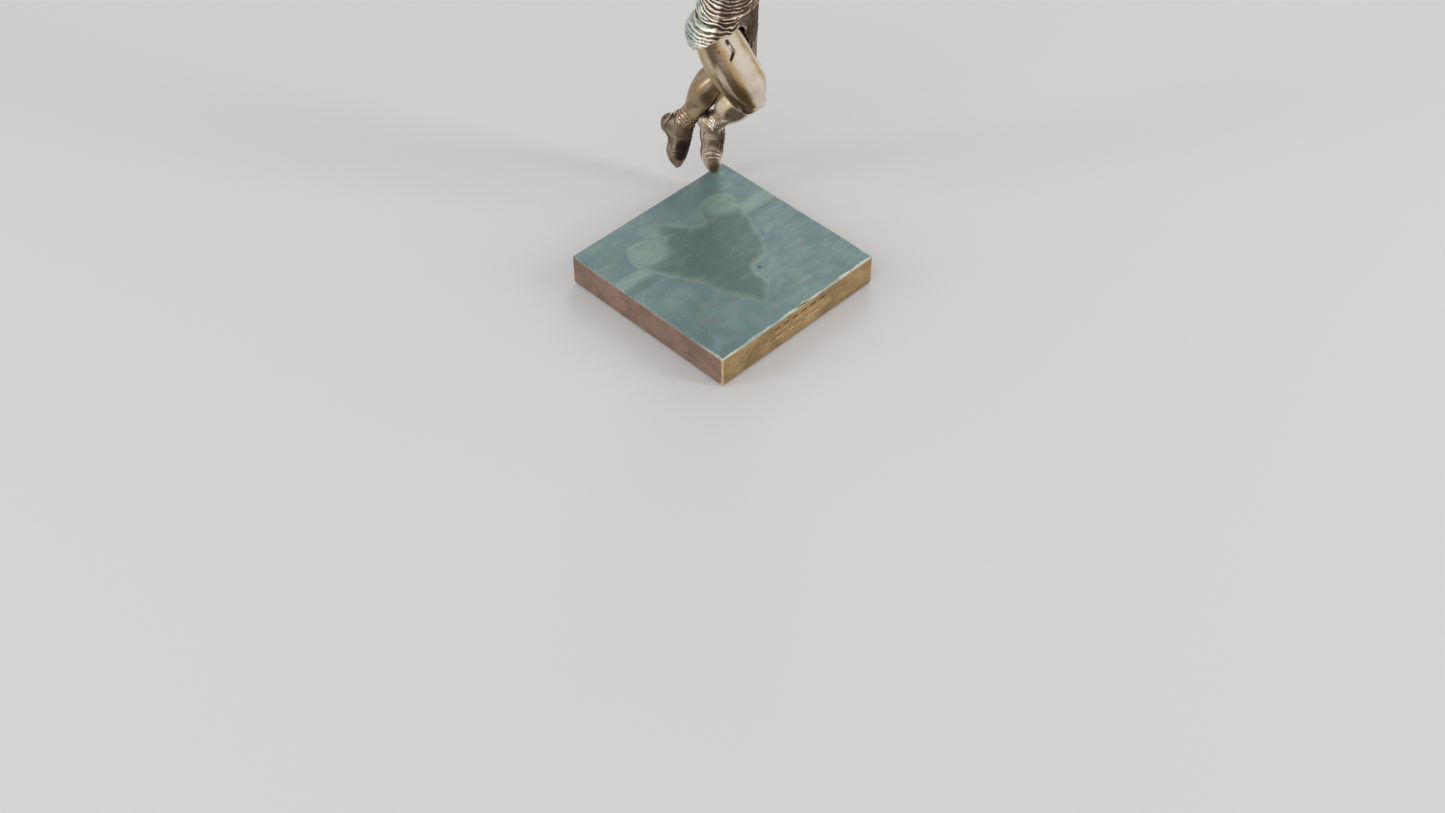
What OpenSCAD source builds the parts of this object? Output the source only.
// Figure trophy: a leaping player cast in bronze sections, pinned by one toe
// to the back corner of a plated wooden plinth.
// Origin: centre of the underside of the felt pad. +Z is up, the front plate
// faces -Y, and the player faces the heading set by "facing".

/* [Plinth] */
// Side of the square plinth
plinth_side = 160; // [140:1:200]
// Height of the plinth from the table to its top face
plinth_height = 27; // [24:0.5:40]
// Thickness of the patinated top plate
top_plate_t = 1.5; // [1:0.1:3]
// Thickness of the four facing plates
side_plate_t = 1.2; // [0.8:0.1:2]
// Thickness of the steel base plate
base_plate_t = 5; // [4:0.5:8]
// Thickness of the felt pad
felt_t = 1.5; // [1:0.1:3]
// Depth of the engraved rules in the front plate
engraving_depth = 0.4; // [0.2:0.05:0.6]
// Inset of the base plate and felt from the facing plates
base_inset = 1.3; // [0.5:0.1:4]

/* [Figure] */
// Standing height of the player
stature = 310; // [250:1:360]
// Girth of limbs and body, as a multiple of the normal girth
girth = 1; // [0.85:0.05:1.15]
// Girth of the garments, as a multiple of the normal girth
cloth_girth = 1; // [0.95:0.05:1.15]
// Distance of the planted toe from the plinth's +X edge
toe_inset_x = 11; // [9:0.5:30]
// Distance of the planted toe from the plinth's +Y edge
toe_inset_y = 2; // [2:0.5:30]

/* [Pose] */
// Heading of the player, counted from +X
facing = -68; // [-90:1:-30]
// Rise of the left hip over the right hip
hip_roll = 11.3; // [0:0.5:20]
// Forward lean of the trunk
trunk_lean = 7; // [0:1:20]
// Right foot: tilt from straight down
foot_r_tilt = 7.3; // [0:0.5:20]
// Right foot: heading from straight ahead
foot_r_turn = -62; // [-90:1:90]
// Right shin: tilt from straight down
shin_r_tilt = 43.5; // [30:0.5:60]
// Right shin: heading from straight ahead
shin_r_turn = 146; // [130:1:190]
// Right thigh: tilt from straight down
thigh_r_tilt = 24.5; // [10:0.5:50]
// Right thigh: heading from straight ahead
thigh_r_turn = 58; // [0:1:70]
// Left thigh: tilt from straight down
thigh_l_tilt = 14; // [0:0.5:40]
// Left thigh: heading from straight ahead
thigh_l_turn = 125; // [0:1:130]
// Left shin: tilt from straight down
shin_l_tilt = 33.5; // [30:0.5:60]
// Left shin: heading from straight ahead
shin_l_turn = 168; // [160:1:200]
// Left foot: tilt from straight down
foot_l_tilt = 7.5; // [0:0.5:20]
// Left foot: heading from straight ahead
foot_l_turn = -157; // [-180:1:90]

/* [Fixings] */
// Diameter of the armature rod in the planted foot
rod_d = 4; // [3:0.5:5]
// Radial clearance of the rod in its bores
rod_clearance = 0.1; // [0.05:0.05:0.3]
// How far the rod runs up into the boot
rod_embed = 30; // [20:1:34]
// Offset of the rod from the line of the foot, toward the plinth's middle
rod_offset = 2.3; // [1:0.1:3]
// Length of the mounting bar under the plinth's core
bar_length = 56; // [40:1:70]
// Width of the mounting bar
bar_width = 14; // [10:0.5:18]
// Thickness of the mounting bar
bar_t = 4; // [3:0.5:6]
// Shank diameter of the wood screws
screw_d = 3.5; // [3:0.1:4]
// Length of the base plate screws
screw_length = 15; // [10:0.5:16]
// Diameter of the dowels that locate the castings
dowel_d = 5; // [3:0.5:6]
// Radial clearance of the dowels
dowel_clearance = 0.05; // [0.05:0.05:0.2]
// Length of each dowel
dowel_length = 18; // [12:1:22]

/* [Hidden] */

$fn = 64;
eps = 0.01;
loft_sides = 16;           // corners of each cross-section of a casting
k = stature / 310;         // scale of the player
g = k * girth;             // scale of the player's girths
c = g * cloth_girth;       // scale of the garments' girths
half = plinth_side / 2;
core_half = half - side_plate_t;
core_bottom = felt_t + base_plate_t;
core_top = plinth_height - top_plate_t;
screw_head_d = 2 * screw_d;
screw_head_h = 0.5 * screw_d;
bar_gap = 1.5;             // air under the mounting bar
screw_reach = core_half - 16;

// Colours of the castings and the plinth
gold_bronze = "darkgoldenrod";
dark_bronze = "saddlebrown";
green_bronze = "darkseagreen";

// ---- Vectors ----
function unit(v) = v / norm(v);
function flat(heading) = [cos(heading), sin(heading), 0];
function bone(tilt, turn) =
  [sin(tilt) * cos(facing + turn), sin(tilt) * sin(facing + turn), -cos(tilt)];
function across(v, u) = unit(v - u * (v * u));

ahead = flat(facing);
leftward = flat(facing + 90);

// ---- Skeleton, from the planted toe upward ----
thigh_length = 0.248 * stature;
shin_length = 0.238 * stature;
foot_length = 0.130 * stature;
hip_width = 0.105 * stature;
toe_lift = 3 * k;
u_foot_r = bone(foot_r_tilt, foot_r_turn);
u_shin_r = bone(shin_r_tilt, shin_r_turn);
u_thigh_r = bone(thigh_r_tilt, thigh_r_turn);
u_foot_l = bone(foot_l_tilt, foot_l_turn);
u_shin_l = bone(shin_l_tilt, shin_l_turn);
u_thigh_l = bone(thigh_l_tilt, thigh_l_turn);
toe_r = [half - toe_inset_x, half - toe_inset_y, plinth_height + toe_lift];
ankle_r = toe_r - u_foot_r * foot_length;
knee_r = ankle_r - u_shin_r * shin_length;
hip_r = knee_r - u_thigh_r * thigh_length;
u_hips = leftward * cos(hip_roll) + [0, 0, sin(hip_roll)];
hip_l = hip_r + u_hips * hip_width;
knee_l = hip_l + u_thigh_l * thigh_length;
ankle_l = knee_l + u_shin_l * shin_length;
pelvis = (hip_r + hip_l) / 2;
u_trunk = unit([0, 0, cos(trunk_lean)] + ahead * sin(trunk_lean) + leftward * 0.03);
f_trunk = across(ahead, u_trunk);
rightward = cross(f_trunk, u_trunk);

// Heights along the trunk, from the hips up
hem_level = 17 * k;
neck_level = 103 * k;
chin_level = 109 * k;
shoulder_level = 89 * k;
shoulder_reach = 31 * k;
function on_trunk(level, side = 0, front = 0) =
  pelvis + u_trunk * level + rightward * side + f_trunk * front;

// Arms
upper_arm_length = 0.172 * stature;
forearm_length = 0.148 * stature;
function trunk_way(front, side, up) = unit(f_trunk * front + rightward * side + u_trunk * up);
shoulder_r = on_trunk(shoulder_level, shoulder_reach);
shoulder_l = on_trunk(shoulder_level, -shoulder_reach);
u_upper_r = trunk_way(0.35, 0.45, 0.85);
u_fore_r = trunk_way(0.15, -0.05, 1);
u_upper_l = trunk_way(-0.45, -0.75, -0.5);
u_fore_l = trunk_way(0.75, -0.35, 0.6);
elbow_r = shoulder_r + u_upper_r * upper_arm_length;
wrist_r = elbow_r + u_fore_r * forearm_length;
elbow_l = shoulder_l + u_upper_l * upper_arm_length;
wrist_l = elbow_l + u_fore_l * forearm_length;

// ---- Castings ----
// A section is [centre, direction of the limb, front, side radius, front radius,
// back radius]. The front is squared to the direction.
function section(centre, u, front, side_r, front_r, back_r) =
  let (f = across(front, u), s = cross(f, u))
  [for (i = [0 : loft_sides - 1])
    let (a = 360 * i / loft_sides, r = sin(a) < 0 ? back_r : front_r)
    centre + s * side_r * cos(a) + f * r * sin(a)];

// Closed skin through a list of sections
module loft(sections) {
  n = loft_sides;
  rows = len(sections);
  points = [for (ring = sections) each ring];
  skin = [for (j = [0 : rows - 2], i = [0 : n - 1])
    let (a = j * n + i, b = j * n + (i + 1) % n)
    each [[a, a + n, b], [b, a + n, b + n]]];
  first_cap = [for (i = [0 : n - 1]) i];
  last_cap = [for (i = [n - 1 : -1 : 0]) (rows - 1) * n + i];
  polyhedron(points, concat([first_cap], skin, [last_cap]));
}

// Straight stretch of limb: rows of [place along the bone, side, front, back]
function stretch(start, u, length, front, rows, scale) =
  [for (row = rows)
    section(start + u * length * row[0], u, front,
            row[1] * scale, row[2] * scale, row[3] * scale)];

// Front of a joint, squared to the bones above and below it
function bend_front(above, below) = unit(above - below);

module taper_through(from, to, d1, d2) {
  span = to - from;
  length = norm(span);
  turn = atan2(span[1], span[0]);
  tilt = acos(span[2] / length);
  translate(from)
    rotate([0, tilt, turn])
      rotate([0, 0, 90])
        cylinder(d1 = d1, d2 = d2, h = length);
}

module rod_through(from, to, d) {
  taper_through(from, to, d, d);
}

// ---- Plinth ----
module centred_slab(side, z0, z1) {
  translate([-side / 2, -side / 2, z0])
    cube([side, side, z1 - z0]);
}

// Armature rod: parallel to the planted foot, set toward the plinth's middle
rod_up = -u_foot_r;
rod_entry = toe_r + u_foot_r * (toe_lift / -u_foot_r[2])
  - unit([toe_r[0], toe_r[1], 0]) * rod_offset;
rod_tip = rod_entry + rod_up * rod_embed;
rod_foot = rod_entry - rod_up * ((plinth_height - core_bottom - 0.5) / rod_up[2]);
rod_axis_low = rod_entry - rod_up * ((plinth_height + 5) / rod_up[2]);
module rod_bore() {
  rod_through(rod_axis_low, rod_tip + rod_up * 0.5, rod_d + 2 * rod_clearance);
}

// Mounting bar lies along Y under the rod
bar_z = core_bottom + bar_gap;
bar_end_wall = 3.2;
bar_at = [rod_foot[0], rod_foot[1] + bar_end_wall];
bar_screw_places = [for (f = [0.45, 0.85]) [bar_at[0], bar_at[1] - bar_length * f]];

module bar_blank(margin, z0, z1) {
  translate([bar_at[0] - bar_width / 2 - margin, bar_at[1] - bar_length - margin, z0])
    cube([bar_width + 2 * margin, bar_length + 2 * margin, z1 - z0]);
}

// Countersunk wood screw, head down at z = 0
module wood_screw(length) {
  cylinder(d = screw_d, h = length);
  cylinder(d1 = screw_head_d, d2 = screw_d, h = screw_head_h);
}

base_screw_places = [for (a = [0 : 90 : 270]) [screw_reach * cos(a), screw_reach * sin(a)]];

module base_screw_set() {
  for (p = base_screw_places)
    translate([p[0], p[1], felt_t])
      wood_screw(screw_length);
}

module bar_screw_set() {
  for (p = bar_screw_places)
    translate([p[0], p[1], bar_z])
      wood_screw(core_top - bar_z - 3);
}

module plinth_core() {
  color("sienna")
    difference() {
      centred_slab(2 * core_half, core_bottom, core_top);
      bar_blank(0.2, core_bottom - 1, bar_z + bar_t);
      rod_bore();
      base_screw_set();
      bar_screw_set();
    }
}

module top_plate() {
  color("cadetblue")
    difference() {
      centred_slab(plinth_side, core_top, plinth_height);
      rod_bore();
    }
}

// Facing plate along the -Y side with 45-degree mitred ends
module facing_plate() {
  translate([0, 0, felt_t])
    linear_extrude(core_top - felt_t)
      polygon([
        [-half, -half], [half, -half],
        [core_half, -core_half], [-core_half, -core_half]
      ]);
}

// Engraved rules on the front plate: one broken heading rule and four plain ones
rule_left = 0.33 * half;
rule_length = 0.72 * half;
rule_h = 1;
rule_pitch = 2.7;
rule_top = plinth_height - 6;
heading_dashes = 6;
module engraved_rules() {
  dash = rule_length / heading_dashes;
  for (i = [0 : heading_dashes - 1])
    translate([-rule_left + i * dash, -half - eps, rule_top])
      cube([dash * 0.62, engraving_depth + eps, 1.6 * rule_h]);
  for (j = [1 : 4])
    translate([-rule_left, -half - eps, rule_top - j * rule_pitch])
      cube([rule_length * (1 - 0.05 * (j % 2)), engraving_depth + eps, rule_h / 2]);
}

module front_plate() {
  color("goldenrod")
    difference() {
      facing_plate();
      engraved_rules();
    }
}

module right_plate() {
  color("goldenrod")
    rotate([0, 0, 90])
      facing_plate();
}

module back_plate() {
  color("peru")
    rotate([0, 0, 180])
      facing_plate();
}

module left_plate() {
  color("sienna")
    rotate([0, 0, -90])
      facing_plate();
}

module base_plate() {
  color("dimgray")
    difference() {
      centred_slab(2 * (core_half - base_inset), felt_t, core_bottom);
      base_screw_set();
    }
}

module base_screws() {
  color("silver")
    base_screw_set();
}

module felt_pad() {
  color("darkgreen")
    centred_slab(2 * (core_half - base_inset), 0, felt_t);
}

module mounting_bar() {
  color("gray")
    difference() {
      bar_blank(0, bar_z, bar_z + bar_t);
      rod_bore();
      bar_screw_set();
    }
}

module bar_screws() {
  color("silver")
    bar_screw_set();
}

module mounting_rod() {
  color("silver")
    rod_through(rod_foot, rod_tip, rod_d);
}

// ---- Legs ----
// Places along the bones where one casting gives way to the next
hem_r_place = -0.03;
hem_l_place = 0.57;
sock_top = 0.80;
sock_end = 0.955;
// How far each heel stands out behind its ankle
heel_r = 12.5;
heel_l = 18;

// Radii of a thigh by the place along it
thigh_side = [[0, 17.4], [0.26, 17.4], [0.54, 16.6], [0.68, 15], [0.84, 12.8], [1, 11.8]];
thigh_front = [[0, 18.4], [0.26, 20.2], [0.54, 21], [0.68, 22.4], [0.84, 19.2], [1, 13]];
thigh_back = [[0, 18.4], [0.26, 18], [0.54, 16], [0.68, 13.4], [0.84, 10.6], [1, 8.5]];

module thigh(hip, u_thigh, u_shin, hem_place) {
  knee = hip + u_thigh * thigh_length;
  rows = [for (share = [0, 0.27, 0.54, 0.7, 0.85])
    let (at = hem_place + (1 - hem_place) * share)
    [at, lookup(at, thigh_side), lookup(at, thigh_front), lookup(at, thigh_back)]];
  color(gold_bronze)
    loft(concat(
      stretch(hip, u_thigh, thigh_length, bend_front(u_thigh, u_shin), rows, g),
      [knee_section(knee, u_thigh, u_shin)]
    ));
}

function knee_section(knee, u_thigh, u_shin) =
  section(knee, unit(u_thigh + u_shin), bend_front(u_thigh, u_shin), 11.8 * g, 13 * g, 8.5 * g);

module calf(knee, u_thigh, u_shin) {
  front = bend_front(u_thigh, u_shin);
  rows = [
    [0.17, 11.8, 11, 13.5],
    [0.3, 12.6, 9.6, 16.4],
    [0.42, 12.4, 8.8, 16.8],
    [0.56, 11, 8, 14.4],
    [0.7, 8.8, 7.2, 10.4],
    [sock_top, 7.4, 6.8, 8]
  ];
  color(gold_bronze)
    loft(concat(
      [knee_section(knee, u_thigh, u_shin)],
      stretch(knee, u_shin, shin_length, front, rows, g)
    ));
}

// Rolled sock: two soft rolls around the ankle
module sock(knee, u_thigh, u_shin) {
  front = bend_front(u_thigh, u_shin);
  rows = [
    [sock_top, 7.6, 7.2, 8],
    [0.83, 8.6, 8.2, 9],
    [0.87, 7.9, 7.7, 8.6],
    [0.91, 8.6, 8.3, 9.3],
    [sock_end, 8, 7.8, 8.8]
  ];
  color(dark_bronze)
    loft(stretch(knee, u_shin, shin_length, front, rows, c));
}

// Boot with its ankle at the end of the shin and its toe pointing down
module boot_skin(ankle, u_thigh, u_shin, u_foot, heel) {
  front = bend_front(u_thigh, u_shin);
  rows = [
    [0.2, 8, 7.6, heel - 1],
    [0.42, 7.6, 7.2, 9.6],
    [0.65, 8.9, 7.2, 10.8],
    [0.83, 8.9, 6, 9.8],
    [0.96, 6.8, 4.6, 7.2],
    [1.085, 3.4, 2.8, 3]
  ];
  start = ankle - u_shin * shin_length * (1 - sock_end);
  loft(concat(
    [section(start, u_shin, front, 8.2 * c, 8 * c, 8.8 * c)],
    [section(ankle, unit(u_shin + u_foot), front, 8.2 * c, 7.8 * c, heel * c)],
    stretch(ankle, u_foot, foot_length, front, rows, c)
  ));
}

module right_boot() {
  color(dark_bronze)
    difference() {
      boot_skin(ankle_r, u_thigh_r, u_shin_r, u_foot_r, heel_r);
      centred_slab(2 * plinth_side, 0, plinth_height);
      rod_bore();
      ankle_dowel(ankle_r, u_shin_r, dowel_clearance);
    }
}

module left_boot() {
  color(dark_bronze)
    difference() {
      boot_skin(ankle_l, u_thigh_l, u_shin_l, u_foot_l, heel_l);
      ankle_dowel(ankle_l, u_shin_l, dowel_clearance);
    }
}

module right_sock() {
  difference() {
    sock(knee_r, u_thigh_r, u_shin_r);
    ankle_dowel(ankle_r, u_shin_r, dowel_clearance);
  }
}

module left_sock() {
  difference() {
    sock(knee_l, u_thigh_l, u_shin_l);
    ankle_dowel(ankle_l, u_shin_l, dowel_clearance);
  }
}

module right_calf() {
  difference() {
    calf(knee_r, u_thigh_r, u_shin_r);
    ankle_dowel(ankle_r, u_shin_r, dowel_clearance);
  }
}

module left_calf() {
  difference() {
    calf(knee_l, u_thigh_l, u_shin_l);
    ankle_dowel(ankle_l, u_shin_l, dowel_clearance);
  }
}

module right_thigh() {
  difference() {
    thigh(hip_r, u_thigh_r, u_shin_r, hem_r_place);
    hip_dowel(hip_r, u_thigh_r, hem_r_place, dowel_clearance);
  }
}

// The left thigh is flattened where it lies against the right one
module left_thigh() {
  difference() {
    thigh(hip_l, u_thigh_l, u_shin_l, hem_l_place);
    taper_through(hip_r + u_thigh_r * thigh_length * 0.3, knee_r, 36.5 * g, 25 * g);
    hip_dowel(hip_l, u_thigh_l, hem_l_place, dowel_clearance);
  }
}

// ---- Garments on the trunk ----
module shorts_leg(hip, u_thigh, u_shin, hem_place) {
  front = bend_front(u_thigh, u_shin);
  rows = [
    [-0.22, 10, 10, 10],
    [-0.12, 16, 16, 16],
    [-0.05, 18.5, 18.5, 18.5],
    [hem_place, 19.5, 20, 19.5]
  ];
  loft(stretch(hip, u_thigh, thigh_length, front, rows, c));
}

module shorts() {
  rows = [
    [-14, 15, 13, 13],
    [-4, 26, 17, 16.5],
    [6, 29, 18, 17.5],
    [17, 27.5, 18.5, 17]
  ];
  color(green_bronze)
    difference() {
      union() {
        shorts_leg(hip_r, u_thigh_r, u_shin_r, hem_r_place);
        shorts_leg(hip_l, u_thigh_l, u_shin_l, hem_l_place);
        loft([for (row = rows)
          section(on_trunk(row[0] * k), u_trunk, f_trunk, row[1] * c, row[2] * c, row[3] * c)]);
      }
      above_hem();
      right_leg_room();
      hip_dowel(hip_r, u_thigh_r, hem_r_place, dowel_clearance);
      hip_dowel(hip_l, u_thigh_l, hem_l_place, dowel_clearance);
      waist_pin(dowel_clearance);
    }
}

// Room for the right thigh below the hem of its leg of the shorts
module right_leg_room() {
  rows = [
    [hem_r_place + 0.004, 20.8, 20.8, 20.8],
    [hem_r_place + 0.6, 20.8, 20.8, 20.8]
  ];
  loft(stretch(hip_r, u_thigh_r, thigh_length, bend_front(u_thigh_r, u_shin_r), rows, g));
}

// Everything above the plane of the jersey's hem
module above_hem() {
  translate(on_trunk(hem_level))
    rotate([0, acos(u_trunk[2]), atan2(u_trunk[1], u_trunk[0])])
      translate([-stature / 4, -stature / 4, 0])
        cube([stature / 2, stature / 2, stature / 4]);
}

module jersey() {
  rows = [
    [17, 29.5, 20.5, 18.5, 0],
    [24, 28, 20, 18.3, 0],
    [38, 25.5, 18, 17.5, 0],
    [56, 28, 19.5, 17.5, 0],
    [72, 31, 20.5, 18, 0],
    [84, 32, 18.5, 18, 0],
    [92, 31, 15.5, 16.5, -0.5],
    [98, 23, 12.5, 13.5, -1],
    [103, 12, 9.8, 10.5, -1]
  ];
  color(green_bronze)
    difference() {
      loft([for (row = rows)
        section(on_trunk(row[0] * k, 0, row[4] * k), u_trunk, f_trunk,
                row[1] * c, row[2] * c, row[3] * c)]);
      sleeve_skin(shoulder_r, u_upper_r);
      sleeve_skin(shoulder_l, u_upper_l);
      waist_pin(dowel_clearance);
      neck_pin(dowel_clearance);
      shoulder_pin(shoulder_r, 1, dowel_clearance);
      shoulder_pin(shoulder_l, -1, dowel_clearance);
    }
}

// ---- Head ----
module head() {
  chin = on_trunk(chin_level, 0, 3 * k);
  skull_h = 40 * k;
  color(gold_bronze)
    difference() {
      union() {
        loft([
          section(on_trunk(neck_level, 0, -k), u_trunk, f_trunk, 10 * g, 9 * g, 9.5 * g),
          section(on_trunk(chin_level, 0, 0), u_trunk, f_trunk, 9.2 * g, 8 * g, 9 * g),
          section(on_trunk(chin_level + 14 * k, 0, 0), u_trunk, f_trunk, 8.5 * g, 7 * g, 9 * g)
        ]);
        loft([for (a = [-75 : 25 : 75])
          section(chin + u_trunk * skull_h * (1 + sin(a)) / 2, u_trunk, f_trunk,
                  14.3 * g * cos(a), 16 * g * cos(a), 18 * g * cos(a))]);
        nose(chin + u_trunk * skull_h * 0.4 + f_trunk * 14.5 * g);
        for (side = [-1, 1])
          ear(chin + u_trunk * skull_h * 0.48 + rightward * side * 14 * g - f_trunk * k);
      }
      neck_pin(dowel_clearance);
    }
}

module nose(at) {
  hull() {
    translate(at)
      sphere(r = 2.2 * g, $fn = 12);
    translate(at + u_trunk * 6 * k - f_trunk * 1.5 * k)
      sphere(r = 1.5 * g, $fn = 12);
  }
}

module ear(at) {
  hull() {
    translate(at)
      sphere(r = 1.8 * g, $fn = 12);
    translate(at + u_trunk * 4 * k - f_trunk * 0.8 * k)
      sphere(r = 2.4 * g, $fn = 12);
  }
}

// ---- Arms ----
sleeve_place = 0.5;        // hem of the sleeve along the upper arm

module sleeve_skin(shoulder, u_upper) {
  rows = [
    [-0.2, 5, 5, 5],
    [-0.12, 10, 10, 10],
    [0, 13, 13.5, 13.5],
    [0.18, 12.8, 13.2, 13.2],
    [0.36, 12.4, 12.6, 12.6],
    [sleeve_place, 13, 13.2, 13.2]
  ];
  loft(stretch(shoulder, u_upper, upper_arm_length, f_trunk, rows, c));
}

function elbow_section(elbow, u_upper, u_fore) =
  section(elbow, unit(u_upper + u_fore), unit(u_fore - u_upper), 7.4 * g, 7.2 * g, 8 * g);

module upper_arm(shoulder, u_upper, u_fore) {
  front = unit(u_fore - u_upper);
  rows = [
    [sleeve_place, 9.4, 10, 9.6],
    [0.66, 8.8, 9.4, 8.8],
    [0.8, 7.8, 6.8, 7.8]
  ];
  color(gold_bronze)
    loft(concat(
      stretch(shoulder, u_upper, upper_arm_length, front, rows, g),
      [elbow_section(shoulder + u_upper * upper_arm_length, u_upper, u_fore)]
    ));
}

module forearm(elbow, u_upper, u_fore) {
  front = unit(u_fore - u_upper);
  rows = [
    [0.24, 8.4, 6.8, 8],
    [0.42, 7.8, 7.2, 7.4],
    [0.7, 6, 5.6, 5.8],
    [1, 5, 4.2, 4.4]
  ];
  color(gold_bronze)
    loft(concat(
      [elbow_section(elbow, u_upper, u_fore)],
      stretch(elbow, u_fore, forearm_length, front, rows, g)
    ));
}

// Clenched hand at the end of a forearm
module fist(wrist, u_upper, u_fore) {
  front = unit(u_fore - u_upper);
  rows = [
    [0, 4.6, 4, 4],
    [0.25, 7.4, 6, 5.2],
    [0.55, 8.8, 8, 5.6],
    [0.85, 8.6, 8, 5.2],
    [1, 6.6, 5.6, 3.6]
  ];
  color(gold_bronze)
    loft(stretch(wrist, u_fore, 0.064 * stature, front, rows, g));
}

module right_sleeve() {
  color(green_bronze)
    difference() {
      sleeve_skin(shoulder_r, u_upper_r);
      shoulder_pin(shoulder_r, 1, dowel_clearance);
    }
}

module left_sleeve() {
  color(green_bronze)
    difference() {
      sleeve_skin(shoulder_l, u_upper_l);
      shoulder_pin(shoulder_l, -1, dowel_clearance);
    }
}

module right_upper_arm() {
  upper_arm(shoulder_r, u_upper_r, u_fore_r);
}

module left_upper_arm() {
  upper_arm(shoulder_l, u_upper_l, u_fore_l);
}

module right_forearm() {
  forearm(elbow_r, u_upper_r, u_fore_r);
}

module left_forearm() {
  forearm(elbow_l, u_upper_l, u_fore_l);
}

module right_fist() {
  fist(wrist_r, u_upper_r, u_fore_r);
}

module left_fist() {
  fist(wrist_l, u_upper_l, u_fore_l);
}

// ---- Dowels sealed inside the castings ----
// Each takes a radial and end clearance: 0 for the dowel, more for its hole.
module dowel(middle, u, length, play) {
  rod_through(middle - u * (length / 2 + play), middle + u * (length / 2 + play),
              dowel_d + 2 * play);
}

module ankle_dowel(ankle, u_shin, play) {
  dowel(ankle - u_shin * shin_length * 0.13, u_shin, shin_length * 0.25, play);
}

module hip_dowel(hip, u_thigh, hem_place, play) {
  dowel(hip + u_thigh * thigh_length * hem_place, u_thigh, dowel_length, play);
}

module waist_pin(play) {
  dowel(on_trunk(hem_level, 0, -2 * k), u_trunk, dowel_length, play);
}

module neck_pin(play) {
  dowel(on_trunk(neck_level, 0, -k), u_trunk, dowel_length, play);
}

module shoulder_pin(shoulder, side, play) {
  dowel(shoulder - rightward * side * 11 * k, rightward, dowel_length, play);
}

module ankle_dowels() {
  color("silver") {
    ankle_dowel(ankle_r, u_shin_r, 0);
    ankle_dowel(ankle_l, u_shin_l, 0);
  }
}

module hip_dowels() {
  color("silver") {
    hip_dowel(hip_r, u_thigh_r, hem_r_place, 0);
    hip_dowel(hip_l, u_thigh_l, hem_l_place, 0);
  }
}

module waist_dowel() {
  color("silver")
    waist_pin(0);
}

module shoulder_dowels() {
  color("silver") {
    shoulder_pin(shoulder_r, 1, 0);
    shoulder_pin(shoulder_l, -1, 0);
  }
}

module neck_dowel() {
  color("silver")
    neck_pin(0);
}

plinth_core();
top_plate();
front_plate();
back_plate();
left_plate();
right_plate();
base_plate();
base_screws();
felt_pad();
mounting_bar();
bar_screws();
mounting_rod();
right_boot();
right_sock();
right_calf();
right_thigh();
left_boot();
left_sock();
left_calf();
left_thigh();
shorts();
jersey();
head();
right_sleeve();
right_upper_arm();
right_forearm();
right_fist();
left_sleeve();
left_upper_arm();
left_forearm();
left_fist();
ankle_dowels();
hip_dowels();
waist_dowel();
shoulder_dowels();
neck_dowel();
